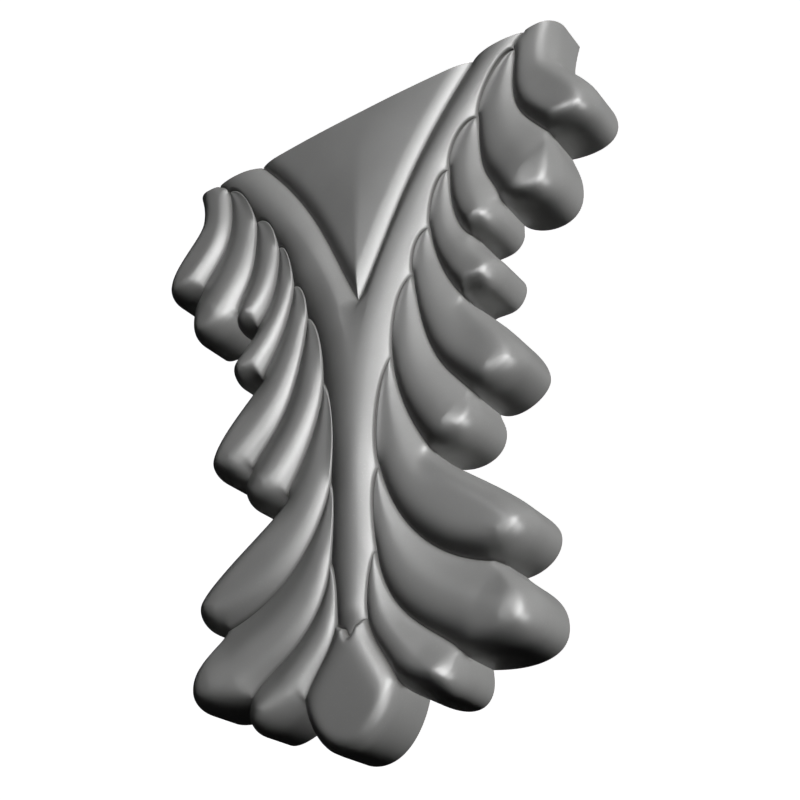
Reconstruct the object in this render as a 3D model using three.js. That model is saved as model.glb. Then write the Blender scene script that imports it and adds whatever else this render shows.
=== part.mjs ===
import * as THREE from 'three';

// Acanthus leaf onlay: one carved piece with a flat back.
// Millimetres. X runs to the leaf's right, Z up the leaf and the face looks to -Y.
// The origin is on the flat back, on the centreline, at half the height.

// Heights above the back
const CREASE = 16;            // floor of every crease between two lobes
const SPRING = 11;            // where a lobe's shoulder stands upright on its outer wall
const KNUCKLE = 20.4;         // highest point of a lobe, just inside its tip
const CUT_CROWN = 18.7;       // crest of the top lobe where the flat cut crosses it
const ROOT_CROWN = 17;        // crest of every other lobe where it leaves the rib
const RIB_CROWN = 19;         // crest of the rib and its two branches
const RIB_END_CROWN = 17.6;   // the same crest just above the rib's lower point
const RIB_POINT_CROWN = 16.3; // the same crest at the point itself
const RIB_FOOT = 14.5;        // foot of the rib's round section, hidden below the creases
const PANEL_RIM = 17.5;       // plain panel where its rounded rim ends
const PANEL_CROWN = 19;       // plain panel in the middle
const KEEL_CROWN = 19;        // bottom lobe
const KEEL_SPRING = 13;       // where the bottom lobe's shoulder starts

// Widths of the slopes, measured in plan
const SHOULDER = 7.5;         // round shoulder along a lobe's free outline
const KEEL_SHOULDER = 5.5;    // the same on the bottom lobe
const KEEL_BEVEL = 9;         // slope of the bottom lobe beside its two creases
const KEEL_BROW = 3;          // slope of the bottom lobe under the rib
const PANEL_RIM_WIDTH = 6.5;  // rounded rim of the panel
const PANEL_RISE_WIDTH = 34;  // slow rise from the rim to the middle of the panel
const RIB_TOP_HALF = 9.5;     // half-width of the rib's round section at the flat cut
const RIB_POINT_HALF = 2.5;   // the same at the rib's lower point
const SOFTNESS = 0.4;         // how softly a slope and a shoulder run into each other

// Plan sizes of the rib, the panel and the bottom lobe
const TOP = 120;              // the flat cut across the top
const BOTTOM = -120;          // lowest point of the bottom lobe
const RIB_AT_TOP = [71.5, TOP];
const CREST_AT_TOP = [61.8, TOP];
const PANEL_AT_TOP = [49.6, TOP];
const TOP_CORNER = [84.4, TOP];
const CROTCH = [0, 34.5];     // where the two branches part round the panel
const CREST_MEETS = [0, 0];   // where the branch crests have run into one
const RIB_POINT = [0, -86];   // lower point of the rib
const RIB_DIP = 9;            // length over which the rib dips to its point
const WEB = 7;                // length of the slope below the crotch
const KEEL_CREST = [-93, -107];

// Shares that shape the sections
const RIB_SPREAD = 1.085;     // half-width of the rib's section against its reach to a join
const LEAN = 0.6;             // a lobe's crest lies this far from its upper to its lower edge
const ROUNDING = 0.35;        // how soon the gentle side of a lobe levels out at its crest

// A curve leaves and arrives on a heading, in degrees from straight down and
// positive outwards, with a reach in mm that says how long it keeps to it.
const PANEL_EDGE = { leave: [-41, 47.5], arrive: [-28, 27.5] };
const BRANCH_CREST = { leave: [-45, 42], arrive: [0, 35] };
const KEEL_OUTLINE = { leave: [-12, 5], arrive: [-90, 11] };
const KEEL_TOP = { leave: [-62, 2.6], arrive: [-52, 2.6], at: [2.4, -82.9], over: [-76, 1.2] };

// The nine lobes of one side, from the top down. The lower edge of each one runs
// from the previous join round its root to its own join, then down a crease to its
// fork. Its free outline runs from the previous fork round the tip to its own fork.
const LOBES = [
  {
    root: [-52, 2.5], join: [66.8, 115.2], fall: [-12, 2.5, 26.5],
    land: [36, 18.5], fork: [77.4, 70.8],
    leave: [-20, 6], neck: [81.6, 104, 6, 5, 6],
    tip: [95, 77, -2, 11, 7.5], arrive: [-105, 10],
  },
  {
    root: [-106, 6.5], join: [50.7, 92.3], fall: [-3, 7.6, 30],
    land: [12, 15], fork: [57.6, 51.7],
    leave: [15, 6.9], tip: [80.1, 53.5, -7, 6.6, 13.1], arrive: [-145, 9],
  },
  {
    root: [-100, 6], join: [38.3, 74.3], fall: [-4, 10, 11.7],
    land: [55, 10.5], fork: [47.5, 41.5],
    leave: [-3, 3.1], tip: [56.1, 44.1, -38, 3.1, 3.6], arrive: [-89, 3.6],
  },
  {
    root: [-104, 5.5], join: [29.8, 53], fall: [5, 6.1, 12.6],
    land: [38, 12.4], fork: [43.3, 18],
    leave: [12, 8.4], tip: [56.2, 22.5, -26, 8.4, 7.4], arrive: [-67, 4.9],
  },
  {
    root: [-88, 5.5], join: [22.6, 36.5], fall: [6, 6, 38],
    land: [36, 15.5], fork: [44.8, -17.8],
    leave: [43, 13.3], tip: [63.2, -11.4, -4, 7.7, 5.3], arrive: [-127, 8.5],
  },
  {
    root: [-60, 8.3], join: [14.3, 6.8], fall: [3, 8, 13.4],
    land: [34, 13.7], fork: [28.9, -32.3],
    leave: [14, 3.6], tip: [46.6, -26.7, -10, 3.6, 7.6], arrive: [-115, 7.5],
  },
  {
    root: [-45, 7.2], join: [9.6, -32.4], fall: [14, 12, 15],
    land: [78, 28], fork: [51.2, -74],
    leave: [36, 8], tip: [62.9, -63.2, 10, 8, 5.8], arrive: [-87, 7.1],
  },
  {
    root: [-40, 5], join: [8.7, -60.3], fall: [8, 8, 26],
    land: [31, 10], fork: [38.5, -98.7],
    leave: [37, 6], tip: [63.3, -91.5, -4, 9, 9.5], arrive: [-101, 10.8],
  },
  {
    root: [-45, 4], join: [5.7, -81.2], fall: [10, 4, 8],
    land: [22, 8.7], fork: [17, -103.2],
    leave: [8, 3.1], tip: [37.3, -106.9, -36, 2.8, 6.6], arrive: [-124, 8],
  },
];

// How finely each kind of curve is divided
const STEPS = { root: 5, crease: 12, free: 6, neck: 4, panel: 12, keel: 8, top: 3, rungs: 4 };
const SMOOTHING = 3;

const radians = (degrees) => degrees * Math.PI / 180;
const within = (t, low = 0, high = 1) => Math.min(high, Math.max(low, t));
const mix = (a, b, t) => a + (b - a) * t;
const blend = (a, b, t) => [mix(a[0], b[0], t), mix(a[1], b[1], t)];
const distance = (a, b) => Math.hypot(a[0] - b[0], a[1] - b[1]);
const lastOf = (list) => list[list.length - 1];

// Rises from 0 to 1: an even S, a quarter circle, a parabola that ends level
const smooth = (t) => within(t) ** 2 * (3 - 2 * within(t));
const quarter = (t) => Math.sqrt(1 - (1 - within(t)) ** 2);
const swell = (t) => 1 - (1 - within(t)) ** 2;

// A nearly straight climb from 0 to 1 that rounds off level at its end
function ramp(t) {
  const whole = Math.hypot(1, ROUNDING);
  return (whole - Math.hypot(1 - within(t), ROUNDING)) / (whole - ROUNDING);
}

// The lower of two heights, with the change from one to the other rounded off
function lowerOf(a, b) {
  return Math.min(a, b) - SOFTNESS * Math.log1p(Math.exp(-Math.abs(a - b) / SOFTNESS));
}

// Height of the round shoulder at some distance from a free outline
function shoulder(gap, crown, width = SHOULDER, spring = SPRING) {
  return mix(spring, crown, quarter(gap / width));
}

// Smooth curve between two points of the plan, ends included
function curve(from, leave, to, arrive, steps) {
  const [a, b] = [radians(leave[0]), radians(arrive[0])];
  const bend = new THREE.CubicBezierCurve(
    new THREE.Vector2(...from),
    new THREE.Vector2(from[0] + Math.sin(a) * leave[1], from[1] - Math.cos(a) * leave[1]),
    new THREE.Vector2(to[0] - Math.sin(b) * arrive[1], to[1] + Math.cos(b) * arrive[1]),
    new THREE.Vector2(...to),
  );
  return bend.getPoints(Math.round(steps)).map((p) => [p.x, p.y]);
}

// One list out of several curves that follow on from each other
function joined(...curves) {
  return curves.flatMap((points, index) => (index ? points.slice(1) : points));
}

// Gives each point of a curve its height as a third number
function raised(points, height) {
  return points.map((point) => [point[0], point[1], height(point)]);
}

// Share of a line's length at which each of its points lies
function shares(line) {
  const run = [0];
  for (let i = 1; i < line.length; i += 1) run.push(run[i - 1] + distance(line[i], line[i - 1]));
  return run.map((length) => length / lastOf(run));
}

// The point at a share of a line's length
function along(line, share, marks = shares(line)) {
  let i = 0;
  while (i < line.length - 2 && marks[i + 1] < share) i += 1;
  return blend(line[i], line[i + 1], within((share - marks[i]) / (marks[i + 1] - marks[i])));
}

// The nearest place on a line to a point: how far off it is, and its share of the length
function nearest(point, line, marks = shares(line)) {
  let best = { gap: Infinity, share: 0 };
  for (let i = 0; i < line.length - 1; i += 1) {
    const [dx, dz] = [line[i + 1][0] - line[i][0], line[i + 1][1] - line[i][1]];
    const across = (point[0] - line[i][0]) * dx + (point[1] - line[i][1]) * dz;
    const t = within(across / (dx * dx + dz * dz));
    const gap = distance(point, blend(line[i], line[i + 1], t));
    if (gap < best.gap) best = { gap, share: mix(marks[i], marks[i + 1], t) };
  }
  return best;
}

const gapTo = (point, line) => nearest(point, line).gap;

// The rib is a round band on both sides of its crest line, which is followed a little
// way past the flat cut. Its half-width follows the joins, which lie near its foot.
function ribBand() {
  const leave = radians(BRANCH_CREST.leave[0]);
  const beyond = [CREST_AT_TOP[0] - 12 * Math.sin(leave), CREST_AT_TOP[1] + 12 * Math.cos(leave)];
  const line = joined(
    [beyond, CREST_AT_TOP],
    curve(CREST_AT_TOP, BRANCH_CREST.leave, CREST_MEETS, BRANCH_CREST.arrive, 48),
    [CREST_MEETS, RIB_POINT],
  );
  const marks = shares(line);
  const halves = [[marks[1], RIB_TOP_HALF]];
  for (const { join } of LOBES.slice(1)) {
    const { gap, share } = nearest(join, line, marks);
    halves.push([share, RIB_SPREAD * gap]);
  }
  halves.push([1, RIB_POINT_HALF]);
  return ([x, z]) => {
    const { gap, share } = nearest([x, z], line, marks);
    let i = 0;
    while (i < halves.length - 2 && halves[i + 1][0] < share) i += 1;
    const [[from, before], [to, after]] = [halves[i], halves[i + 1]];
    const half = mix(before, after, within((share - from) / (to - from)));
    const height = mix(RIB_FOOT, ribCrown(z), Math.sqrt(1 - within(gap / half) ** 2));
    return Math.max(height, CREASE);
  };
}

// Height of the rib's crest, which sinks slowly down the stem and dips at the point
function ribCrown(z) {
  const stem = mix(RIB_CROWN, RIB_END_CROWN, smooth((z + 20) / (RIB_POINT[1] + 26)));
  return mix(stem, RIB_POINT_CROWN, smooth((RIB_POINT[1] + RIB_DIP - z) / RIB_DIP));
}

const bandHeight = ribBand();

// Floor of a crease. It leaves the rib's surface at the join, keeps its level, then
// drops over the shoulder to its fork.
function creaseHeight(point, fork) {
  return Math.min(bandHeight(point), shoulder(distance(point, fork), KNUCKLE));
}

// Crest line of a lobe, at equal shares of its two edges. It stops short of the tip,
// and of a closed root, by half the width that the lobe has there.
function midline(upper, lower, openRoot) {
  const count = 120;
  const share = Array.from({ length: count + 1 }, (_, k) => k / count);
  const [marksA, marksB] = [shares(upper), shares(lower)];
  const a = share.map((s) => along(upper, s, marksA));
  const b = share.map((s) => along(lower, s, marksB));
  const line = a.map((p, i) => blend(p, b[i], LEAN));
  const half = (i) => distance(a[i], b[i]) / 2;
  let first = openRoot ? 0 : 1;
  while (!openRoot && distance(line[first], a[0]) < half(first)) first += 1;
  let last = count - 1;
  while (distance(line[last], a[count]) < half(last)) last -= 1;
  const at = (s) => {
    const i = Math.min(Math.floor(s * count), count - 1);
    return blend(line[i], line[i + 1], s * count - i);
  };
  return { crest: line.slice(first, last + 1), first: first / count, last: last / count, at };
}

// Evens out a row of places, with both ends kept
function evened(places) {
  let row = places;
  for (let pass = 0; pass < SMOOTHING; pass += 1) {
    row = row.map((place, i) => (
      i && i < row.length - 1 ? (row[i - 1] + 2 * place + row[i + 1]) / 4 : place));
  }
  return row;
}

// Points from each edge point in to its foot on the crest, closest together at the edge
function rungs(edge, feet, height) {
  const count = Math.round(STEPS.rungs);
  return edge.map((start, i) => {
    const points = [start];
    for (let k = 1; k <= count; k += 1) {
      const t = k / count;
      const share = 0.6 * (1 - Math.cos(Math.PI / 2 * t)) + 0.4 * t ** 1.5;
      const point = k < count ? blend(start, feet[i], share) : feet[i];
      points.push([...point, height(point, i)]);
    }
    return points;
  });
}

// The upper ends of a row of rungs, each with its place along the crest
function ends(ladder, places) {
  return ladder.map((points, i) => ({ at: lastOf(points), place: places[i] }));
}

// The carved face is gathered as triangles over the plan
class Face {
  constructor() {
    this.points = [];
    this.index = new Map();
    this.triangles = [];
  }

  point([x, z, height]) {
    const key = [x, z, height].map((v) => Math.round(v * 1e4) / 1e4 + 0).join();
    if (!this.index.has(key)) {
      this.index.set(key, this.points.length);
      this.points.push([x, z, height]);
    }
    return this.index.get(key);
  }

  // Adds a triangle and its mirror image
  pair(a, b, c) {
    this.one(a, b, c);
    this.one(...[b, a, c].map(([x, z, height]) => [x === 0 ? 0 : -x, z, height]));
  }

  one(...points) {
    const corners = points.map((p) => this.point(p));
    if (new Set(corners).size === 3) this.triangles.push(corners);
  }

  // Skin between the rungs of neighbouring edge points. An edge that keeps its
  // piece on the left runs the other way round, and its skin is turned.
  ladder(rows, turned) {
    const add = turned ? (a, b, c) => this.pair(b, a, c) : (a, b, c) => this.pair(a, b, c);
    for (let i = 1; i < rows.length; i += 1) {
      const [a, b] = [rows[i - 1], rows[i]];
      for (let k = 1; k < a.length; k += 1) {
        add(a[k - 1], b[k - 1], b[k]);
        add(a[k - 1], b[k], a[k]);
      }
    }
  }

  // Skin across a crest, between two lines that run along it
  bridge(a, b) {
    let [i, j] = [0, 0];
    while (i < a.length - 1 || j < b.length - 1) {
      const endA = i === a.length - 1;
      const endB = j === b.length - 1;
      const ahead = !endA && !endB && a[i].place + a[i + 1].place <= b[j].place + b[j + 1].place;
      if (endB || ahead) {
        this.pair(a[i + 1].at, a[i].at, b[j].at);
        i += 1;
      } else {
        this.pair(b[j + 1].at, a[i].at, b[j].at);
        j += 1;
      }
    }
  }
}

// Edges of the nine lobes; neighbours share the points of their creases
function lobeEdges() {
  let start = RIB_AT_TOP;
  let fork = TOP_CORNER;
  let above = null;
  return LOBES.map((lobe) => {
    const [tipX, tipZ, heading, before, after] = lobe.tip;
    const tip = [tipX, tipZ];
    const [turn, near, far] = lobe.fall;
    let outer = curve(fork, lobe.leave, tip, [heading, before], STEPS.free);
    if (lobe.neck) {
      const [x, z, bend, into, outOf] = lobe.neck;
      outer = joined(
        curve(fork, lobe.leave, [x, z], [bend, into], STEPS.neck),
        curve([x, z], [bend, outOf], tip, [heading, before], STEPS.free),
      );
    }
    const under = curve(lobe.fork, turnedBack(lobe.arrive), tip, turnedBack([heading, after]), STEPS.free);
    const edges = {
      root: raised(curve(start, lobe.root, lobe.join, [turn, near], STEPS.root), bandHeight),
      crease: raised(
        curve(lobe.join, [turn, far], lobe.fork, lobe.land, STEPS.crease),
        (point) => creaseHeight(point, lobe.fork),
      ),
      outer: raised(outer, () => SPRING),
      under: raised(under, () => SPRING),
      above,
    };
    [start, fork, above] = [lobe.join, lobe.fork, edges.crease];
    return edges;
  });
}

// The heading and reach of a curve that is followed from its far end
function turnedBack([heading, reach]) {
  return [heading + 180, reach];
}

// Height of a lobe over the plan. Its lower side climbs steeply from the crease and
// its upper side gently. Near the rib both start from the rib's own surface, and
// towards the free outline they give way to the round shoulder.
function lobeHeight(edges, crest, base) {
  const { root, crease, above, outer, under } = edges;
  const free = joined(outer, [...under].reverse());
  return (point, share) => {
    const atRoot = nearest(point, root);
    const low = gapTo(point, crease);
    const high = above ? gapTo(point, above) : Infinity;
    const below = Math.min(atRoot.gap, low);
    const edge = Math.min(below, high);
    const pull = 1 / (1 + (Math.max(atRoot.gap, 1e-3) / Math.max(Math.min(low, high), 1e-3)) ** 2);
    const floor = mix(CREASE, bandHeight(along(root, atRoot.share)), pull);
    const steep = above ? 1 / (1 + (below / Math.max(high, 1e-6)) ** 2) : 1;
    const t = edge / Math.max(edge + gapTo(point, crest), 1e-9);
    const crown = mix(base, KNUCKLE, share ** 2);
    const climb = mix(ramp(t), 1 - (1 - t) ** 2.5, steep);
    return lowerOf(mix(floor, crown, climb), shoulder(gapTo(point, free), crown));
  };
}

function carveLobe(face, edges) {
  const { root, crease, above, outer, under } = edges;
  const upper = above ? joined(above, outer) : outer;
  const lower = joined(root, crease, under);
  const { crest, first, last, at } = midline(upper, lower, !above);
  const height = lobeHeight(edges, crest, above ? ROOT_CROWN : CUT_CROWN);
  const [top, bottom] = [upper, lower].map((edge) => {
    const places = evened(shares(edge).map((share) => within(share, first, last)));
    const rows = rungs(edge, places.map(at), (point, i) => height(point, places[i] / last));
    return { rows, ends: ends(rows, places) };
  });
  face.ladder(top.rows, true);
  face.ladder(bottom.rows, false);
  face.bridge(top.ends, bottom.ends);
}

// Upper edge of the bottom lobe, from the last join to the point of the rib
function keelTop() {
  const { leave, at, over, arrive } = KEEL_TOP;
  return raised(joined(
    curve(lastOf(LOBES).join, leave, at, over, STEPS.top),
    curve(at, over, RIB_POINT, arrive, STEPS.top),
  ), bandHeight);
}

// One half of a lobe or panel that lies across the centreline, which its rungs
// reach between two heights on it
function carveHalf(face, edge, [high, low], atCut, height) {
  const places = edge.map((point) => within((high - point[1]) / (high - low)));
  if (atCut) places[0] = 0;
  for (let i = 1; i < places.length; i += 1) places[i] = Math.max(places[i], places[i - 1]);
  const feet = evened(places).map((place) => [0, mix(high, low, place)]);
  face.ladder(rungs(edge, feet, height), true);
}

// The bottom lobe: nearly flat in front, with a short slope under the rib, a wide
// one beside each crease and a round shoulder along its free outline
function carveKeel(face, crease) {
  const brow = [...keelTop()].reverse();
  const fork = lastOf(crease);
  const { leave, arrive } = KEEL_OUTLINE;
  const free = raised(curve(fork, leave, [0, BOTTOM], arrive, STEPS.keel), () => SPRING);
  carveHalf(face, joined(brow, crease, free), KEEL_CREST, false, (point) => {
    const under = nearest(point, brow);
    const start = bandHeight(along(brow, under.share));
    const fall = mix(start, KEEL_CROWN, quarter(under.gap / KEEL_BROW));
    const bevel = mix(CREASE, KEEL_CROWN, quarter(gapTo(point, crease) / KEEL_BEVEL));
    const edge = shoulder(gapTo(point, free), KEEL_CROWN, KEEL_SHOULDER, KEEL_SPRING);
    return lowerOf(lowerOf(fall, bevel), edge);
  });
}

function panelEdge() {
  const { leave, arrive } = PANEL_EDGE;
  return raised(curve(PANEL_AT_TOP, leave, CROTCH, arrive, STEPS.panel), () => CREASE);
}

function carvePanel(face) {
  const edge = panelEdge();
  carveHalf(face, edge, [TOP, CROTCH[1]], true, (point) => {
    const gap = gapTo(point, edge);
    const rim = mix(CREASE, PANEL_RIM, swell(gap / PANEL_RIM_WIDTH));
    return rim + (PANEL_CROWN - PANEL_RIM) * swell(gap / PANEL_RISE_WIDTH);
  });
}

// The rib: its crest line runs down the branch, meets the mirrored one below the
// crotch and goes on down the centreline
function carveRib(face, lobes) {
  const crest = joined(
    curve(CREST_AT_TOP, BRANCH_CREST.leave, CREST_MEETS, BRANCH_CREST.arrive, 24),
    [CREST_MEETS, [0, RIB_POINT[1] + 6]],
  );
  const onCrest = (place) => {
    const [x, z] = along(crest, place);
    return [x < 0.05 ? 0 : x, z];
  };
  const outer = [...lobes.map((edges) => edges.root), keelTop()];
  const places = [0];
  outer.forEach((line, index) => {
    const from = lastOf(places);
    const to = index < LOBES.length ? nearest(lastOf(line), crest).share : 1;
    places.push(...shares(line).slice(1).map((share) => mix(from, to, share)));
  });
  const flank = rungs(joined(...outer), places.map(onCrest), bandHeight);

  const edge = panelEdge();
  const web = [0, CROTCH[1] - WEB];
  const inside = (point) => {
    const gap = gapTo(point, edge);
    return mix(CREASE, ribCrown(point[1]), swell(gap / Math.max(gap + gapTo(point, crest), 1e-9)));
  };
  const facing = edge.map((point) => nearest(point, crest).share);
  [facing[0], facing[facing.length - 1]] = [0, nearest(web, crest).share];
  const feet = [...facing.slice(0, -1).map(onCrest), web];
  const inner = rungs(edge, feet, inside);

  // Both branches have one surface between their crests, down to where these meet
  const crown = ends(flank, places);
  const meet = crown.findIndex((end) => end.at[0] === 0);
  const middle = ends(inner, facing);
  for (let z = web[1] - WEB; z > crown[meet].at[1] + 2; z -= WEB) {
    middle.push({ at: [0, z, inside([0, z])], place: nearest([0, z], crest).share });
  }
  middle.push({ at: crown[meet].at, place: 2 });
  face.ladder(flank, true);
  face.ladder(inner, false);
  face.bridge(crown.slice(0, meet + 1), middle);
}

// Closes the carved face with upright walls and the flat back
function closed(face) {
  const used = new Set(face.triangles.flatMap(([a, b, c]) => [`${a} ${b}`, `${b} ${c}`, `${c} ${a}`]));
  const next = new Map();
  for (const edge of used) {
    const [a, b] = edge.split(' ').map(Number);
    if (!used.has(`${b} ${a}`)) next.set(a, b);
  }
  const first = next.keys().next().value;
  const loop = [first];
  while (next.get(loop[loop.length - 1]) !== first) loop.push(next.get(loop[loop.length - 1]));
  const foot = new Map(loop.map((at) => [at, face.point([face.points[at][0], face.points[at][1], 0])]));
  const triangles = [...face.triangles];
  loop.forEach((a, i) => {
    const b = loop[(i + 1) % loop.length];
    triangles.push([b, a, foot.get(a)], [b, foot.get(a), foot.get(b)]);
  });
  const outline = loop.map((at) => new THREE.Vector2(face.points[at][0], face.points[at][1]));
  for (const [a, b, c] of THREE.ShapeUtils.triangulateShape(outline, [])) {
    const area = (outline[b].x - outline[a].x) * (outline[c].y - outline[a].y)
      - (outline[c].x - outline[a].x) * (outline[b].y - outline[a].y);
    const corners = area > 0 ? [a, c, b] : [a, b, c];
    triangles.push(corners.map((i) => foot.get(loop[i])));
  }
  return triangles;
}

function leafGeometry() {
  const face = new Face();
  const lobes = lobeEdges();
  for (const edges of lobes) carveLobe(face, edges);
  carveKeel(face, lastOf(lobes).crease);
  carvePanel(face);
  carveRib(face, lobes);
  const triangles = closed(face);
  const geometry = new THREE.BufferGeometry();
  const positions = face.points.flatMap(([x, z, height]) => [x, -height, z]);
  geometry.setAttribute('position', new THREE.Float32BufferAttribute(positions, 3));
  geometry.setIndex(triangles.flat());
  geometry.computeVertexNormals();
  return geometry;
}

const primer = new THREE.MeshStandardMaterial({ color: 0x8c8c8a, roughness: 0.55, metalness: 0 });
const leaf = new THREE.Mesh(leafGeometry(), primer);
leaf.name = 'leaf_onlay';

const onlay = new THREE.Group();
onlay.name = 'decorative_onlay';
onlay.add(leaf);

export default onlay;
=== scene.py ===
# %% [markdown]
# # A carved acanthus leaf onlay
#
# An onlay is a flat-backed ornament that is glued and pinned to a door, a mantel or a
# wall. This one is a single moulded leaf: a Y-shaped rib, a plain panel between its two
# branches, nine puffed lobes on each side and one more at the bottom.
#
# Everything is worked out on paper first, as a carver does it. Each lobe has a plan, which
# is its outline seen from the front, and a section, which is how it swells from its creases
# to its crest. The plan is in millimetres with x to the right and z up, and every point of
# it gets a height above the flat back.

# %% The frame of the part
import math

import bmesh
import bpy
import numpy as np
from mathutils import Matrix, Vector


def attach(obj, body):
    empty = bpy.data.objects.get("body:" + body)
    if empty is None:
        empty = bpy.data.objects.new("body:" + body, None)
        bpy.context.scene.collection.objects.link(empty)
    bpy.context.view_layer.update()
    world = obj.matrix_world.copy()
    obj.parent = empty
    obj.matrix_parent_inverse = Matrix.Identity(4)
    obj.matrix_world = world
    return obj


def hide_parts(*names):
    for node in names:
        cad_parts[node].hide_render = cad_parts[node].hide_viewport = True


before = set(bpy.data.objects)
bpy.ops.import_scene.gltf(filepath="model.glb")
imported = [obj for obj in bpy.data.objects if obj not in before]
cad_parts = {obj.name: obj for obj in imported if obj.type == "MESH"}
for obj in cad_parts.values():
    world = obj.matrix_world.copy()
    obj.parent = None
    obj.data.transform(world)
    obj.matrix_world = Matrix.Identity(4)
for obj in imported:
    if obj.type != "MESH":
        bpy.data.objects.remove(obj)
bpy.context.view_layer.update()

# %% [markdown]
# ## Heights and widths
#
# These are the numbers that a carver would mark on the board. A crease is where two lobes
# meet, a crown is the top of a rounded form, and a shoulder is the quick round turn from
# the front of a form down to its upright outer wall.

# %% Heights above the back, in millimetres
CREASE = 16.0
SPRING = 11.0       # where the shoulder starts from the upright wall
KNUCKLE = 20.4
CUT_CROWN = 18.7    # crest of the first lobe at the cut
ROOT_CROWN = 17.0   # crest of the other lobes where they leave the rib
RIB_CROWN, RIB_END_CROWN, RIB_POINT_CROWN, RIB_FOOT = 19.0, 17.6, 16.3, 14.5
PANEL_RIM, PANEL_CROWN = 17.5, 19.0
KEEL_CROWN, KEEL_SPRING = 19.0, 13.0

# %% Widths of the slopes, in millimetres, and the shares that shape them
SHOULDER = 7.5
KEEL_SHOULDER, KEEL_BEVEL, KEEL_BROW = 5.5, 9.0, 3.0
PANEL_RIM_WIDTH, PANEL_RISE_WIDTH = 6.5, 34.0
RIB_TOP_HALF, RIB_POINT_HALF, RIB_SPREAD = 9.5, 2.5, 1.085
SOFTNESS = 0.4      # how softly two slopes run into each other, in millimetres
LEAN = 0.6          # a lobe's crest lies this share of the way from its upper to its lower edge
ROUNDING = 0.35     # how round the crest is, against the straight slope that leads to it
STEEPNESS = 2.5     # the power that makes a lobe's lower side steep
STEM_STARTS, STEM_SETTLES = -20, 6      # the stem sinks from z = -20 to 6 mm above its point

# %% [markdown]
# ## The plan
#
# A curve of the plan leaves one point and arrives at the next on a heading, with a reach
# that says how long it keeps to it. Headings are in degrees from straight down, positive
# outwards. With so few numbers each line stays as fair as one drawn with a spline batten.

# %% Plan of the rib, the panel and the bottom lobe
TOP, BOTTOM = 120.0, -120.0
RIB_AT_TOP, CREST_AT_TOP, PANEL_AT_TOP = (71.5, TOP), (61.8, TOP), (49.6, TOP)
TOP_CORNER = (84.4, TOP)
CROTCH, CREST_MEETS, RIB_POINT = (0, 34.5), (0, 0), (0, -86)
RIB_DIP, WEB = 9.0, 7.0
KEEL_CREST = (-93, -107)
PANEL_EDGE = dict(leave=(-41, 47.5), arrive=(-28, 27.5))
BRANCH_CREST = dict(leave=(-45, 42), arrive=(0, 35))
KEEL_OUTLINE = dict(leave=(-12, 5), arrive=(-90, 11))
KEEL_TOP = dict(leave=(-62, 2.6), arrive=(-52, 2.6), at=(2.4, -82.9), over=(-76, 1.2))

# %% [markdown]
# The lobes of one side follow each other from the top down. The lower edge of a lobe runs
# from the previous join round its root to its own join, then falls down a crease to its
# fork, where it parts from the next lobe. Its free outline runs from the previous fork
# round the tip to its own fork. The other side of the leaf is the mirror image.

# %% Plan of the nine lobes of one side
LOBES = [
    dict(root=(-52, 2.5), join=(66.8, 115.2), fall=(-12, 2.5, 26.5), land=(36, 18.5), fork=(77.4, 70.8),
         leave=(-20, 6), neck=(81.6, 104, 6, 5, 6), tip=(95, 77, -2, 11, 7.5), arrive=(-105, 10)),
    dict(root=(-106, 6.5), join=(50.7, 92.3), fall=(-3, 7.6, 30), land=(12, 15), fork=(57.6, 51.7),
         leave=(15, 6.9), tip=(80.1, 53.5, -7, 6.6, 13.1), arrive=(-145, 9)),
    dict(root=(-100, 6), join=(38.3, 74.3), fall=(-4, 10, 11.7), land=(55, 10.5), fork=(47.5, 41.5),
         leave=(-3, 3.1), tip=(56.1, 44.1, -38, 3.1, 3.6), arrive=(-89, 3.6)),
    dict(root=(-104, 5.5), join=(29.8, 53), fall=(5, 6.1, 12.6), land=(38, 12.4), fork=(43.3, 18),
         leave=(12, 8.4), tip=(56.2, 22.5, -26, 8.4, 7.4), arrive=(-67, 4.9)),
    dict(root=(-88, 5.5), join=(22.6, 36.5), fall=(6, 6, 38), land=(36, 15.5), fork=(44.8, -17.8),
         leave=(43, 13.3), tip=(63.2, -11.4, -4, 7.7, 5.3), arrive=(-127, 8.5)),
    dict(root=(-60, 8.3), join=(14.3, 6.8), fall=(3, 8, 13.4), land=(34, 13.7), fork=(28.9, -32.3),
         leave=(14, 3.6), tip=(46.6, -26.7, -10, 3.6, 7.6), arrive=(-115, 7.5)),
    dict(root=(-45, 7.2), join=(9.6, -32.4), fall=(14, 12, 15), land=(78, 28), fork=(51.2, -74),
         leave=(36, 8), tip=(62.9, -63.2, 10, 8, 5.8), arrive=(-87, 7.1)),
    dict(root=(-40, 5), join=(8.7, -60.3), fall=(8, 8, 26), land=(31, 10), fork=(38.5, -98.7),
         leave=(37, 6), tip=(63.3, -91.5, -4, 9, 9.5), arrive=(-101, 10.8)),
    dict(root=(-45, 4), join=(5.7, -81.2), fall=(10, 4, 8), land=(22, 8.7), fork=(17, -103.2),
         leave=(8, 3.1), tip=(37.3, -106.9, -36, 2.8, 6.6), arrive=(-124, 8)),
]

# %% How finely the curves are divided
FINE = 4
STEPS = {name: count * FINE for name, count in
         dict(root=5, crease=12, free=6, neck=4, panel=12, keel=8, top=3, rungs=4, crest=16).items()}
EVENING = 3 * FINE ** 2     # rounds of smoothing that space the rungs' feet evenly
print(len(LOBES), "lobes on each side, curves divided", FINE, "times finer than the solid's")

# %% [markdown]
# ## Curves
#
# A fair curve between two points is a cubic Bezier curve. The rest of the helpers answer
# the two questions that a section keeps asking: how far off is a line, and where along it
# is the nearest place?

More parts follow.
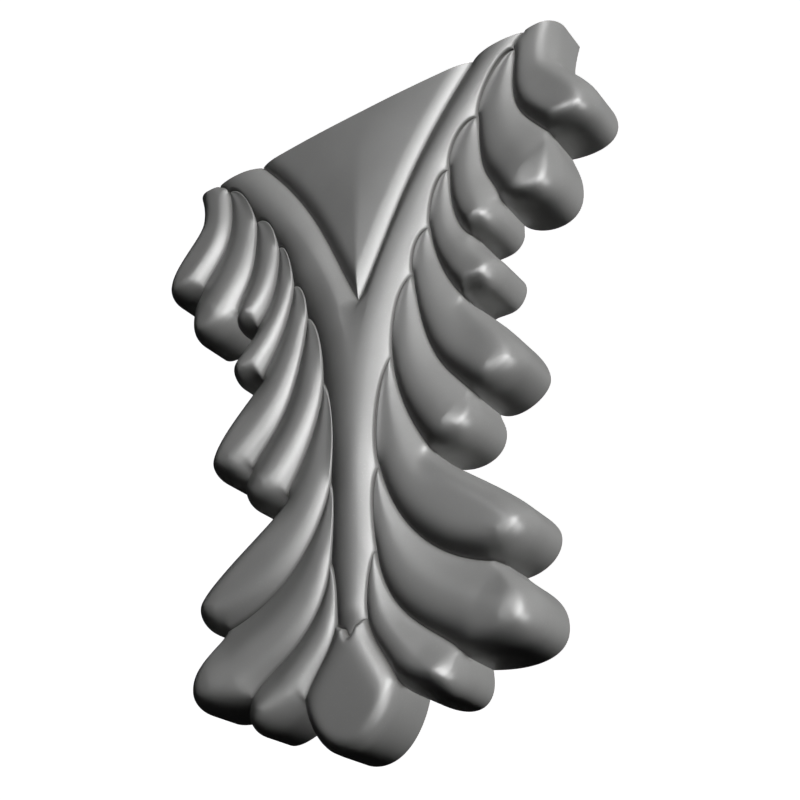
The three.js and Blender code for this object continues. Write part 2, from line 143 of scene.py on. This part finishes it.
# %% Curves and the places along them
def curve(start, leave, end, arrive, steps):
    a, b = math.radians(leave[0]), math.radians(arrive[0])
    p, q = np.array(start, float), np.array(end, float)
    c = p + leave[1] * np.array([math.sin(a), -math.cos(a)])
    d = q - arrive[1] * np.array([math.sin(b), -math.cos(b)])
    t = np.linspace(0, 1, steps + 1)[:, None]
    return (1 - t) ** 3 * p + 3 * t * (1 - t) ** 2 * c + 3 * t ** 2 * (1 - t) * d + t ** 3 * q


def joined(*lines):
    return np.vstack([lines[0]] + [line[1:] for line in lines[1:]])


def shares(line):
    run = np.concatenate([[0], np.cumsum(np.hypot(*np.diff(line, axis=0).T))])
    return run / run[-1]


def along(line, share):
    marks = shares(line)
    return np.column_stack([np.interp(share, marks, line[:, axis]) for axis in (0, 1)])


def nearest(points, line):
    """Distance from each point to a line, and the share of its length at the nearest place."""
    gap, share = np.full(len(points), np.inf), np.zeros(len(points))
    marks = shares(line)
    for i in range(len(line) - 1):
        step = line[i + 1] - line[i]
        t = np.clip((points - line[i]) @ step / (step @ step), 0, 1)
        off = np.hypot(*(points - line[i] - t[:, None] * step).T)
        closer = off < gap
        gap = np.where(closer, off, gap)
        share = np.where(closer, marks[i] + t * (marks[i + 1] - marks[i]), share)
    return gap, share


# %% [markdown]
# ## Sections
#
# A hand-carved swelling isn't one kind of curve. It leaves a crease like a parabola, turns
# over an outer edge like a quarter of an ellipse, and rises on its long side almost straight.
# `lower_of` lets two of these run into each other softly, as a rasp and sandpaper do.

# %% The rises that sections are made of
def mix(a, b, t):
    return a + (b - a) * t


def smooth(t):
    return np.clip(t, 0, 1) ** 2 * (3 - 2 * np.clip(t, 0, 1))


def quarter(t):
    return np.sqrt(1 - (1 - np.clip(t, 0, 1)) ** 2)


def swell(t):
    return 1 - (1 - np.clip(t, 0, 1)) ** 2


def ramp(t):
    whole = math.hypot(1, ROUNDING)
    return (whole - np.hypot(1 - np.clip(t, 0, 1), ROUNDING)) / (whole - ROUNDING)


def lower_of(a, b):
    return np.minimum(a, b) - SOFTNESS * np.log1p(np.exp(-np.abs(a - b) / SOFTNESS))


def shoulder(gap, crown, width=SHOULDER, spring=SPRING):
    return mix(spring, crown, quarter(gap / width))


# %% [markdown]
# ## The rib's surface
#
# The rib is a half-round band on both sides of a crest line, which comes down each branch
# and on down the stem. The lobes spring out of its flanks, so its surface is worked out
# first: the lobes and their creases start at its height. The crest line is followed a
# little way past the flat cut, so that distances to it are right there too.

# %% Height of the rib's band at any place on the plan
def rib_crown(z):
    settled_at = RIB_POINT[1] + STEM_SETTLES
    stem = mix(RIB_CROWN, RIB_END_CROWN, smooth((z - STEM_STARTS) / (settled_at - STEM_STARTS)))
    return mix(stem, RIB_POINT_CROWN, smooth((RIB_POINT[1] + RIB_DIP - z) / RIB_DIP))


PAST_CUT = 12
heading = math.radians(BRANCH_CREST["leave"][0])
beyond = (CREST_AT_TOP[0] - PAST_CUT * math.sin(heading), CREST_AT_TOP[1] + PAST_CUT * math.cos(heading))
branch = curve(CREST_AT_TOP, BRANCH_CREST["leave"], CREST_MEETS, BRANCH_CREST["arrive"], 48)
crest_line = joined(np.array([beyond, CREST_AT_TOP]), branch, np.array([CREST_MEETS, RIB_POINT], float))
join_gap, join_share = nearest(np.array([lobe["join"] for lobe in LOBES[1:]], float), crest_line)
half_at = [shares(crest_line)[1], *join_share, 1]
half_width = [RIB_TOP_HALF, *(RIB_SPREAD * join_gap), RIB_POINT_HALF]
print("rib's half-width down its length:", np.round(half_width, 1))


def band(points):
    gap, share = nearest(points, crest_line)
    t = np.clip(gap / np.interp(share, half_at, half_width), 0, 1)
    return np.maximum(mix(RIB_FOOT, rib_crown(points[:, 1]), np.sqrt(1 - t ** 2)), CREASE)


def crease_height(points, fork):
    """A crease leaves the rib's surface, keeps its level, then drops to its fork."""
    return np.minimum(band(points), shoulder(np.hypot(*(points - fork).T), KNUCKLE))


# %% [markdown]
# ## Skin
#
# The mesh follows the carving: rungs run from each point of an edge in to the crest, and
# their points are closest together at the edge, where the surface turns fastest. The last
# strip up to the crest is a bridge of triangles to evenly spaced points on it, because rungs
# from the two sides arrive at different places. Every triangle is added with its mirror
# image and remembers which form it belongs to. The lobes are forms 0 to 8, and the rest
# have the numbers below.

# %% Ladders and bridges of triangles
KEEL, PANEL, RIB, CUT, BACK = 10, 11, 12, 20, 21
patches = []


def add_patch(points, triangles, form, turned):
    points, triangles = np.asarray(points, float), np.asarray(triangles)
    if turned:
        triangles = triangles[:, [1, 0, 2]]
    patches.append((points, triangles, form))
    patches.append((points * (-1, 1, 1), triangles[:, [1, 0, 2]], form))


def rungs(edge, heights, feet, height):
    """Points from each edge point in to its foot, as one grid of x, z and height."""
    t = np.linspace(0, 1, STEPS["rungs"] + 1)
    share = 0.6 * (1 - np.cos(np.pi / 2 * t)) + 0.4 * t ** 1.5
    share[-1] = 1
    plan = mix(edge[:, None], feet[:, None], share[None, :, None])
    level = height(plan.reshape(-1, 2)).reshape(plan.shape[:2])
    level[:, 0] = heights
    return np.dstack([plan, level])


def add_ladder(grid, form, turned):
    rows, columns = grid.shape[:2]
    a = (np.arange(rows - 1)[:, None] * columns + np.arange(columns - 1)).ravel()
    b = a + columns
    triangles = np.vstack([np.column_stack([a, b, b + 1]), np.column_stack([a, b + 1, a + 1])])
    add_patch(grid.reshape(-1, 3), triangles, form, turned)


def add_bridge(a, places_a, b, places_b, form):
    i, j, triangles = 0, 0, []
    while i < len(a) - 1 or j < len(b) - 1:
        both = i < len(a) - 1 and j < len(b) - 1
        ahead = both and places_a[i] + places_a[i + 1] <= places_b[j] + places_b[j + 1]
        if ahead or j == len(b) - 1:
            triangles.append((i + 1, i, len(a) + j))
            i += 1
        else:
            triangles.append((len(a) + j + 1, i, len(a) + j))
            j += 1
    add_patch(np.vstack([a, b]), triangles, form, False)


def evened(places):
    row = np.array(places, float)
    for _ in range(EVENING):
        row[1:-1] = (row[:-2] + 2 * row[1:-1] + row[2:]) / 4
    return row


# %% [markdown]
# ## The lobes
#
# Each lobe is puffed like a bent finger. Its lower side is steep and drops into the crease
# below, its upper side is a long gentle slope, and the crest between them climbs from the
# rib to a knuckle just inside the tip. There the round shoulder of the free outline takes
# over. A sculptor would push this out of clay; here one height rule does the same, and two
# neighbours share every point of the crease between them, so no gap can open.

# %% Edges of the lobes
def lobe_edges():
    start, fork, above, lobes = RIB_AT_TOP, TOP_CORNER, None, []
    for lobe in LOBES:
        turn, near, far = lobe["fall"]
        tip, (lean, before, after) = lobe["tip"][:2], lobe["tip"][2:]
        outer = curve(fork, lobe["leave"], tip, (lean, before), STEPS["free"])
        if "neck" in lobe:
            x, z, bend, into, out_of = lobe["neck"]
            outer = joined(curve(fork, lobe["leave"], (x, z), (bend, into), STEPS["neck"]),
                           curve((x, z), (bend, out_of), tip, (lean, before), STEPS["free"]))
        lobes.append(dict(
            root=curve(start, lobe["root"], lobe["join"], (turn, near), STEPS["root"]),
            crease=curve(lobe["join"], (turn, far), lobe["fork"], lobe["land"], STEPS["crease"]),
            outer=outer, under=curve(tip, (lean, after), lobe["fork"], lobe["arrive"], STEPS["free"])[::-1],
            above=above, fork=lobe["fork"], fork_above=fork))
        start, fork, above = lobe["join"], lobe["fork"], lobes[-1]["crease"]
    return lobes


# %% Crest line of a lobe
PARTS = 120     # the two sides of a lobe are paired at this many parts of their length


def midline(upper, lower, open_root):
    """It stops short of the tip, and of a closed root, by half the lobe's width there."""
    share = np.linspace(0, 1, PARTS + 1)
    a, b = along(upper, share), along(lower, share)
    line, half = mix(a, b, LEAN), np.hypot(*(a - b).T) / 2
    first, last = (0 if open_root else 1), len(share) - 2
    while not open_root and np.hypot(*(line[first] - a[0])) < half[first]:
        first += 1
    while np.hypot(*(line[last] - a[-1])) < half[last]:
        last -= 1
    return line, first, last


def on_midline(line, places):
    return np.column_stack([np.interp(places * PARTS, range(PARTS + 1), line[:, axis]) for axis in (0, 1)])


# %% Height of a lobe over its plan
def lobe_height(lobe, crest, base):
    free = joined(lobe["outer"], lobe["under"][::-1])

    def height(points, share):
        root_gap, root_share = nearest(points, lobe["root"])
        low = nearest(points, lobe["crease"])[0]
        high = nearest(points, lobe["above"])[0] if lobe["above"] is not None else np.full(len(points), 1e6)
        below = np.minimum(root_gap, low)
        edge = np.minimum(below, high)
        pull = 1 / (1 + (np.maximum(root_gap, 1e-3) / np.maximum(np.minimum(low, high), 1e-3)) ** 2)
        floor = mix(CREASE, band(along(lobe["root"], root_share)), pull)
        steep = 1 / (1 + (below / np.maximum(high, 1e-6)) ** 2)
        t = edge / np.maximum(edge + nearest(points, crest)[0], 1e-9)
        crown = mix(base, KNUCKLE, share ** 2)
        climb = mix(ramp(t), 1 - (1 - t) ** STEEPNESS, steep)
        return lower_of(mix(floor, crown, climb), shoulder(nearest(points, free)[0], crown))
    return height


# %% Skin of the lobes
def carve_lobe(lobe, form):
    open_root = lobe["above"] is None
    upper = lobe["outer"] if open_root else joined(lobe["above"], lobe["outer"])
    lower = joined(lobe["root"], lobe["crease"], lobe["under"])
    line, first, last = midline(upper, lower, open_root)
    height = lobe_height(lobe, line[first:last + 1], CUT_CROWN if open_root else ROOT_CROWN)
    level = [np.full(len(upper), SPRING), np.full(len(lower), SPRING)]
    if not open_root:
        level[0][:len(lobe["above"])] = crease_height(lobe["above"], lobe["fork_above"])
    creased = len(lobe["root"]) + len(lobe["crease"]) - 1
    level[1][:creased] = crease_height(lower[:creased], lobe["fork"])
    level[1][:len(lobe["root"])] = band(lobe["root"])
    crest_places = np.linspace(first / PARTS, last / PARTS, STEPS["crest"] + 1)
    crest = on_midline(line, crest_places)
    crest = np.column_stack([crest, height(crest, crest_places * PARTS / last)])
    for edge, heights, turned in ((upper, level[0], True), (lower, level[1], False)):
        places = evened(np.clip(shares(edge), first / PARTS, last / PARTS))
        share = np.repeat(places * PARTS / last, STEPS["rungs"] + 1)
        grid = rungs(edge, heights, on_midline(line, places), lambda points: height(points, share))
        add_ladder(grid[:, :-1], form, turned)
        strip = [grid[:, -2], places, crest, crest_places]
        add_bridge(*(strip if turned else strip[2:] + strip[:2]), form)


lobes = lobe_edges()
for number, lobe in enumerate(lobes):
    carve_lobe(lobe, number)
print("skin of the lobes:", sum(len(t) for _, t, _ in patches), "triangles")

# %% [markdown]
# ## The bottom lobe and the panel
#
# Both lie across the centreline, so one half is made and its mirror image meets it there.
# The bottom lobe is nearly flat in front, with a bevel beside each crease. The panel is the
# plain ground between the branches: a rounded rim, then a slow rise to the middle.

# %% Forms that lie across the centreline
def carve_half(edge, heights, high, low, at_cut, height, form):
    places = np.clip((high - edge[:, 1]) / (high - low), 0, 1)
    if at_cut:
        places[0] = 0
    places = evened(np.maximum.accumulate(places))
    feet = np.column_stack([np.zeros(len(edge)), mix(high, low, places)])
    add_ladder(rungs(edge, heights, feet, height), form, True)


keel_top = joined(curve(LOBES[-1]["join"], KEEL_TOP["leave"], KEEL_TOP["at"], KEEL_TOP["over"], STEPS["top"]),
                  curve(KEEL_TOP["at"], KEEL_TOP["over"], RIB_POINT, KEEL_TOP["arrive"], STEPS["top"]))
keel_crease = lobes[-1]["crease"]
keel_free = curve(lobes[-1]["fork"], KEEL_OUTLINE["leave"], (0, BOTTOM), KEEL_OUTLINE["arrive"],
                  STEPS["keel"])


def keel_height(points):
    brow_gap, brow_share = nearest(points, keel_top)
    fall = mix(band(along(keel_top, brow_share)), KEEL_CROWN, quarter(brow_gap / KEEL_BROW))
    bevel = mix(CREASE, KEEL_CROWN, quarter(nearest(points, keel_crease)[0] / KEEL_BEVEL))
    edge = shoulder(nearest(points, keel_free)[0], KEEL_CROWN, KEEL_SHOULDER, KEEL_SPRING)
    return lower_of(lower_of(fall, bevel), edge)


keel_edge = joined(keel_top[::-1], keel_crease, keel_free)
keel_level = np.full(len(keel_edge), SPRING)
creased = len(keel_top) + len(keel_crease) - 1
keel_level[:creased] = crease_height(keel_edge[:creased], lobes[-1]["fork"])
keel_level[:len(keel_top)] = band(keel_edge[:len(keel_top)])
carve_half(keel_edge, keel_level, *KEEL_CREST, False, keel_height, KEEL)

# %% The panel
panel_edge = curve(PANEL_AT_TOP, PANEL_EDGE["leave"], CROTCH, PANEL_EDGE["arrive"], STEPS["panel"])


def panel_height(points):
    gap = nearest(points, panel_edge)[0]
    rim = mix(CREASE, PANEL_RIM, swell(gap / PANEL_RIM_WIDTH))
    return rim + (PANEL_CROWN - PANEL_RIM) * swell(gap / PANEL_RISE_WIDTH)


carve_half(panel_edge, np.full(len(panel_edge), CREASE), TOP, CROTCH[1], True, panel_height, PANEL)

# %% [markdown]
# ## The rib
#
# Its outer flank is a ladder from the roots of the lobes up to the crest. Its inner flank
# climbs from the edge of the panel. Just below the crotch the two branches run together,
# and from the place where their crests meet the mirror images join on the centreline.

# %% Skin of the rib
CREST_STOPS_SHORT, CENTRED_WITHIN = 6, 0.05
rib_crest = joined(curve(CREST_AT_TOP, BRANCH_CREST["leave"], CREST_MEETS, BRANCH_CREST["arrive"], 96),
                   np.array([CREST_MEETS, (0, RIB_POINT[1] + CREST_STOPS_SHORT)], float))


def on_crest(places):
    feet = along(rib_crest, places)
    feet[feet[:, 0] < CENTRED_WITHIN, 0] = 0
    return feet


def inside_height(points):
    gap = nearest(points, panel_edge)[0]
    t = gap / np.maximum(gap + nearest(points, rib_crest)[0], 1e-9)
    return mix(CREASE, rib_crown(points[:, 1]), swell(t))


outer = [lobe["root"] for lobe in lobes] + [keel_top]
places = [np.zeros(1)]
for line in outer:
    end = 1 if line is keel_top else nearest(line[-1:], rib_crest)[1][0]
    places.append(mix(places[-1][-1], end, shares(line)[1:]))
places, outer = np.concatenate(places), joined(*outer)
flank = rungs(outer, band(outer), on_crest(places), band)

web = np.array([[0, CROTCH[1] - WEB]])
facing = nearest(panel_edge, rib_crest)[1]
facing[0] = 0
feet = on_crest(facing)
feet[-1], facing[-1] = web[0], nearest(web, rib_crest)[1][0]
inner = rungs(panel_edge, np.full(len(panel_edge), CREASE), feet, inside_height)
add_ladder(flank[:, :-1], RIB, True)
add_ladder(inner[:, :-1], RIB, False)

# %% The strips up to the rib's crest, and the surface between the two crests
crest_places = np.linspace(0, 1, 6 * STEPS["crest"] + 1)
crest = on_crest(crest_places)
crest = np.column_stack([crest, band(crest)])
meet = int(np.argmax(crest[:, 0] == 0))
down = np.arange(web[0, 1], crest[meet, 1] + 2 / FINE, -WEB / FINE)
middle = np.column_stack([0 * down, down])
inner_line = np.vstack([inner[:, -2], np.column_stack([middle, inside_height(middle)]), crest[meet]])
inner_places = np.concatenate([facing, nearest(middle, rib_crest)[1], [2]])
add_bridge(flank[:, -2], places, crest, crest_places, RIB)
add_bridge(crest[:meet + 1], crest_places[:meet + 1], inner_line, inner_places, RIB)
print("skin of the face:", sum(len(t) for _, t, _ in patches), "triangles")

# %% [markdown]
# ## One closed piece
#
# The patches share their edge points, so welding equal points makes one skin. Its open rim
# is the outline of the leaf. Upright walls go down from the rim to the wall that the onlay
# hangs on, and one flat face closes the back, sanded flat on the real thing.

# %% Weld the skin and close it
start = np.cumsum([0] + [len(points) for points, _, _ in patches])
loose = np.vstack([points for points, _, _ in patches]) + 0.0
_, kept, weld = np.unique(np.round(loose, 4) + 0.0, axis=0, return_index=True, return_inverse=True)
weld = weld.ravel()
skin = np.vstack([weld[triangles + at] for (_, triangles, _), at in zip(patches, start)])
form = np.concatenate([np.full(len(triangles), number) for _, triangles, number in patches])
whole = (skin[:, 0] != skin[:, 1]) & (skin[:, 1] != skin[:, 2]) & (skin[:, 2] != skin[:, 0])
skin, form = skin[whole], form[whole]

# %% Take out triangles that lie back to back at the tight roots, and the points only they use
_, twin, count = np.unique(np.sort(skin, axis=1), axis=0, return_inverse=True, return_counts=True)
single = count[twin.ravel()] == 1
print("back-to-back triangles taken out:", int((~single).sum()))
used, skin = np.unique(skin[single], return_inverse=True)
skin, form = skin.reshape(-1, 3), form[single]
level = loose[kept][used]
print("welded skin:", len(level), "points,", len(skin), "triangles")

# %% [markdown]
# A carver finishes such a relief with a fine veining tool, run along every crease. It leaves
# a hair-thin groove that keeps the forms apart even in flat light. The thin dark lines in
# the photograph look like that, so the groove is cut into the mesh here.

# %% The veined line along every crease
VEIN_DEPTH, VEIN_WIDTH = 0.5, 0.3
creases = [line for lobe in lobes for line in (lobe["root"], lobe["crease"])] + [keel_top, panel_edge]


def crease_gap(points):
    plan = np.column_stack([np.abs(points[:, 0]), points[:, 1]])
    return np.min([nearest(plan, line)[0] for line in creases], axis=0)


level[:, 2] -= VEIN_DEPTH * np.exp(-(crease_gap(level) / VEIN_WIDTH) ** 2)
print("veined", len(creases), "lines on each side")

# %% The open rim of the skin
sides = {}
for triangle, number in zip(skin.tolist(), form.tolist()):
    for k in range(3):
        sides[triangle[k], triangle[(k + 1) % 3]] = number
rim = {a: (b, number) for (a, b), number in sides.items() if (b, a) not in sides}
loop = [next(iter(rim))]
while rim[loop[-1]][0] != loop[0]:
    loop.append(rim[loop[-1]][0])
print("open rim:", len(loop), "of", len(rim), "points")

# %% Walls, back and the mesh itself
foot = {at: len(level) + i for i, at in enumerate(loop)}
points = np.vstack([level, level[loop] * (1, 1, 0)])
faces, forms = skin.tolist(), form.tolist()
for a in loop:
    b, number = rim[a]
    faces.append((b, a, foot[a], foot[b]))
    forms.append(CUT if min(level[a][1], level[b][1]) > TOP - 0.001 else number)
faces.append([foot[a] for a in reversed(loop)])
forms.append(BACK)

mesh = bpy.data.meshes.new("carved_leaf")
mesh.from_pydata((points[:, [0, 2, 1]] * (0.001, -0.001, 0.001)).tolist(), [], faces)
mesh.shade_smooth()
leaf = bpy.data.objects.new("carved_leaf", mesh)
bpy.context.scene.collection.objects.link(leaf)
print("one piece of", len(mesh.polygons), "faces, highest point", round(float(points[:, 2].max()), 2), "mm")

# %% [markdown]
# ## Crisp creases
#
# Smooth shading blurs over every edge. On the real leaf the creases between two forms are
# crisp, because a blade cut them in the pattern that the mould was taken from. So are the
# cut across the top and the edge of the back. These edges are marked sharp: wherever two
# faces of different forms meet.

# %% Mark the creases
edge_of = np.empty(len(mesh.loops), int)
mesh.loops.foreach_get("edge_index", edge_of)
form_of = np.repeat(forms, [len(face) for face in faces])
lowest, highest = np.full(len(mesh.edges), 99), np.zeros(len(mesh.edges), int)
np.minimum.at(lowest, edge_of, form_of)
np.maximum.at(highest, edge_of, form_of)
mesh.edges.foreach_set("use_edge_sharp", lowest != highest)
print(int((lowest != highest).sum()), "edges are sharp")
print(int((np.bincount(edge_of) != 2).sum()), "edges without exactly two faces")

# %% [markdown]
# ## Satin grey primer
#
# Such leaves are moulded in rigid polyurethane and sprayed with a grey primer in the
# factory, ready to paint. The primer is a water-based acrylic: neutral, smooth, with a soft
# sheen. Close to, spraying leaves a faint orange peel of about a millimetre, and the coat is
# a little uneven in tone over a few centimetres. The deep creases are painted darker, as
# painted shade, and made a little duller. The specks are drawn at 0.5 mm, coarser than real
# ones, which would be too small to show.
#
# A photograph of primer would fix one light into the surface, so the finish is built from
# noise in the leaf's own millimetres instead.

# %% A colour and a node
def linear(hex_colour):
    values = [int(hex_colour[i:i + 2], 16) / 255 for i in (1, 3, 5)]
    return [v / 12.92 if v <= 0.04045 else ((v + 0.055) / 1.055) ** 2.4 for v in values] + [1]


def add_node(tree, kind, sockets, **settings):
    """Adds a node with its settings. Each socket takes a value or another node's output."""
    node = tree.nodes.new(kind)
    for name, value in settings.items():
        setattr(node, name, value)
    for socket, value in sockets.items():
        if isinstance(value, bpy.types.NodeSocket):
            tree.links.new(value, node.inputs[socket])
        else:
            node.inputs[socket].default_value = value
    return node


# %% Where the creases get painted shade: an attribute that fades from 1 on a crease to nearly 0 two millimetres off
CREASE_SHADE_REACH = 0.45
gap = crease_gap(points)
crease_shade = mesh.attributes.new("crease_shade", "FLOAT", "POINT")
crease_shade.data.foreach_set("value", np.exp(-gap / CREASE_SHADE_REACH) * (points[:, 2] > SPRING + 1))
print("dusty points:", int((gap < CREASE_SHADE_REACH).sum()))

# %% The primer's patterns
MM = 0.001
CLOUD, PEEL, SPECK = 30, 1.2, 0.5
primer = bpy.data.materials.new("satin acrylic primer, sprayed on moulded polyurethane")
primer.use_nodes = True
tree = primer.node_tree
surface = tree.nodes["Principled BSDF"]
surface.inputs["IOR"].default_value = 1.5
surface.inputs["Metallic"].default_value = 0.0
where = add_node(tree, "ShaderNodeTexCoord", {}).outputs["Object"]
cloud = add_node(tree, "ShaderNodeTexNoise", {"Vector": where, "Scale": 1 / (CLOUD * MM), "Detail": 3.0})
peel = add_node(tree, "ShaderNodeTexNoise", {"Vector": where, "Scale": 1 / (PEEL * MM), "Detail": 2.0})
speck = add_node(tree, "ShaderNodeTexNoise", {"Vector": where, "Scale": 1 / (SPECK * MM), "Detail": 1.0})
crease_shaded = add_node(tree, "ShaderNodeAttribute", {}, attribute_name="crease_shade").outputs["Fac"]
print("patterns of the primer: clouds", CLOUD, "mm, orange peel", PEEL, "mm, specks", SPECK, "mm")

# %% Tone: a slightly uneven coat, fine specks, and painted shade in the creases
COLOUR_A, COLOUR_B, COLOUR_OUT = 6, 7, 2    # the colour sockets of a Mix node
uneven = add_node(tree, "ShaderNodeMapRange",
                  {"Value": cloud.outputs["Fac"], "From Min": 0.3, "From Max": 0.7})
coat = add_node(tree, "ShaderNodeMix", {"Factor": uneven.outputs["Result"], COLOUR_A: linear("#898988"),
                                        COLOUR_B: linear("#919190")}, data_type="RGBA")
fleck = add_node(tree, "ShaderNodeMapRange",
                 {"Value": speck.outputs["Fac"], "From Min": 0.62, "From Max": 0.75, "To Max": 0.25})
flecked = add_node(tree, "ShaderNodeMix",
                   {"Factor": fleck.outputs["Result"], COLOUR_A: coat.outputs[COLOUR_OUT],
                    COLOUR_B: linear("#a2a2a0")}, data_type="RGBA")
# Painted shade: the creases are darkened towards a brown near-black.
painted_shade = add_node(tree, "ShaderNodeMath", {0: crease_shaded, 1: 0.9}, operation="MULTIPLY")
colour = add_node(tree, "ShaderNodeMix", {"Factor": painted_shade.outputs[0], COLOUR_A: flecked.outputs[COLOUR_OUT],
                                          COLOUR_B: linear("#3c3a37")}, data_type="RGBA")
tree.links.new(colour.outputs[COLOUR_OUT], surface.inputs["Base Color"])

# %% Sheen and orange peel
dull = add_node(tree, "ShaderNodeMapRange", {"Value": cloud.outputs["Fac"], "From Min": 0.3, "From Max": 0.7,
                                             "To Min": 0.37, "To Max": 0.43})
rough = add_node(tree, "ShaderNodeMath", {0: crease_shaded, 1: 0.3, 2: dull.outputs["Result"]},
                 operation="MULTIPLY_ADD")
bump = add_node(tree, "ShaderNodeBump", {"Height": peel.outputs["Fac"], "Strength": 0.35,
                                         "Distance": 0.02 * MM})
tree.links.new(rough.outputs[0], surface.inputs["Roughness"])
tree.links.new(bump.outputs["Normal"], surface.inputs["Normal"])
mesh.materials.append(primer)

# %% [markdown]
# ## The studio
#
# The leaf hangs in a round white studio, above a pale floor. A photographer lights such a
# relief twice. A key from the right, low over the face, gives each form its light and its
# dark side. It is matt, so it isn't seen in the sheen, and it casts no shadows, as if other
# lamps filled them, so every form stays readable. Then come softboxes that are seen only in
# the sheen: a large one ahead, others low on the right and above, and a small spark at the
# upper left. They draw the soft bright ridges along the lobes and the spots on the
# knuckles. Two rear lights are there for the flat back, the cut top and the left side, which
# show when the leaf is turned round.

# %% Lights
LAMP_DISTANCE = 1.5


def lamp(name, towards, size, watts, matt=True, sheen=True, shadow=True):
    data = bpy.data.lights.new(name, "AREA")
    data.size, data.energy, data.use_shadow = size, watts, shadow
    light = bpy.data.objects.new(name, data)
    bpy.context.scene.collection.objects.link(light)
    light.location = Vector(towards).normalized() * LAMP_DISTANCE
    light.rotation_euler = Vector(towards).to_track_quat("Z", "Y").to_euler()
    light.visible_diffuse, light.visible_glossy = matt, sheen


lamp("key", (0.916, -0.342, 0.211), 0.35, 25, sheen=False, shadow=False)
lamp("softbox ahead", (0.262, -0.940, 0.220), 0.9, 50, matt=False)
lamp("softbox right", (0.647, -0.695, -0.315), 0.9, 27, matt=False)
lamp("softbox above", (0.354, -0.707, 0.612), 0.9, 9, matt=False)
lamp("spark", (-0.250, -0.866, 0.433), 0.3, 9, matt=False)
lamp("rear", (0, 1, 0), 0.3, 8)
lamp("rear above", (-0.6, 0.5, 0.62), 0.3, 16, sheen=False)
print(len(bpy.data.lights), "lights,", LAMP_DISTANCE, "m away")

# %% The faint light all round, and plain colours in the picture
world = bpy.data.worlds.new("studio")
world.use_nodes = True
around = world.node_tree.nodes["Background"]
around.inputs["Color"].default_value = linear("#ffffff")
around.inputs["Strength"].default_value = 0.006
bpy.context.scene.world = world
bpy.context.scene.view_settings.view_transform = "Standard"

# %% Camera, at the photograph's place and viewing angle
camera_data = bpy.data.cameras.new("camera")
camera_data.sensor_width = 36
camera_data.lens = 1205 / 800 * 36      # focal length over picture width, both in pixels
camera_data.clip_start = 0.01
camera = bpy.data.objects.new("camera", camera_data)
bpy.context.scene.collection.objects.link(camera)
camera.location = (0.2067, -0.28628, -0.20618)
azimuth, elevation = math.radians(35.0), math.radians(-30.63)
view = Vector((math.sin(azimuth) * math.cos(elevation), -math.cos(azimuth) * math.cos(elevation),
               math.sin(elevation)))
camera.rotation_euler = view.to_track_quat("Z", "Y").to_euler()
bpy.context.scene.camera = camera
print("camera at", tuple(round(v, 3) for v in camera.location), "lens", round(camera_data.lens, 1), "mm")

# %% [markdown]
# The studio's wall is a white dome, and its floor is pale paper. Both glow enough to print
# white or pale grey from any side. They send no light back to the leaf, as if they stood
# far away, so its undersides stay darker than its face.

# %% Wall and floor of the studio
def stage_piece(name, shape, hex_colour, glow):
    data = bpy.data.meshes.new(name)
    shape.to_mesh(data)
    shape.free()
    piece = bpy.data.objects.new(name, data)
    bpy.context.scene.collection.objects.link(piece)
    paper = bpy.data.materials.new(name + " paper")
    paper.use_nodes = True
    sheet = paper.node_tree.nodes["Principled BSDF"]
    sheet.inputs["Base Color"].default_value = linear(hex_colour)
    sheet.inputs["Roughness"].default_value = 0.9
    sheet.inputs["Emission Color"].default_value = linear("#ffffff")
    sheet.inputs["Emission Strength"].default_value = glow
    data.materials.append(paper)
    piece.visible_diffuse = piece.visible_glossy = False


DOME_RADIUS, FLOOR_RADIUS, FLOOR_LEVEL = 4, 3.9, -0.7
dome, disc = bmesh.new(), bmesh.new()
bmesh.ops.create_uvsphere(dome, u_segments=48, v_segments=24, radius=DOME_RADIUS)
bmesh.ops.create_circle(disc, cap_ends=True, segments=96, radius=FLOOR_RADIUS)
bmesh.ops.translate(disc, vec=(0, 0, FLOOR_LEVEL), verts=disc.verts)
stage_piece("backdrop", dome, "#f2f2f0", 1.0)
stage_piece("floor", disc, "#e6e6e4", 0.72)
print("studio: a dome of radius", DOME_RADIUS, "m and a floor at", FLOOR_LEVEL, "m")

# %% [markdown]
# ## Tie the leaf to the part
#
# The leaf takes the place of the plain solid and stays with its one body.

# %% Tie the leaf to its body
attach(leaf, "root")
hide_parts("leaf_onlay")
